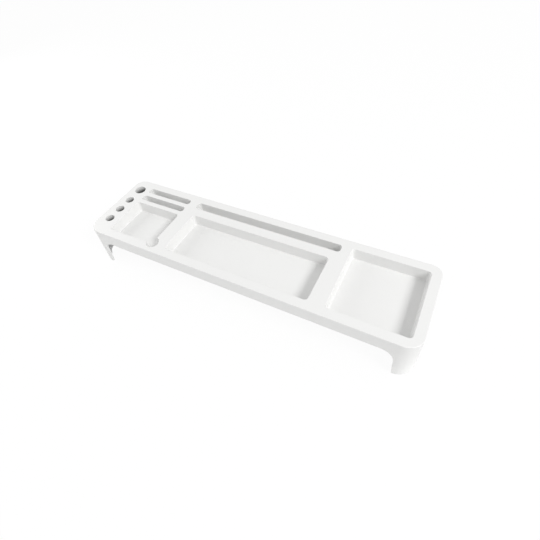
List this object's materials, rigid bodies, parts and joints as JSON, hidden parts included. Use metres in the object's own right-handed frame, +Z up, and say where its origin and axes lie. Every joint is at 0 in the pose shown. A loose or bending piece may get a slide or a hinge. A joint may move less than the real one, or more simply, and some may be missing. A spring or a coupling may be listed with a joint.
{
  "type": "pen tray",
  "caption": "Long white moulded desk tray that stands over a keyboard on end panels, with open trays, a finger notch, card and paper slots, and round pen wells at one end.",
  "frame": {"origin": "on the desk under the middle of the tray, at the centre of its lowest face", "axes": "+X along the length with the pen wells at -X, +Y to the back, +Z up"},
  "size_m": [0.5866, 0.156, 0.076],
  "materials": {
    "shell_plastic": "satin white moulded plastic",
    "cup_plastic": "satin white moulded plastic",
    "screw_steel": "bright zinc plate",
    "foot_rubber": "pale grey soft rubber"
  },
  "bodies": {
    "root": {"tray_shell": "shell_plastic", "pen_cup_block": "cup_plastic", "pen_cup_screws": "screw_steel", "foot_front_left": "foot_rubber", "foot_front_right": "foot_rubber", "foot_rear_left": "foot_rubber", "foot_rear_right": "foot_rubber"}
  },
  "joints": []
}
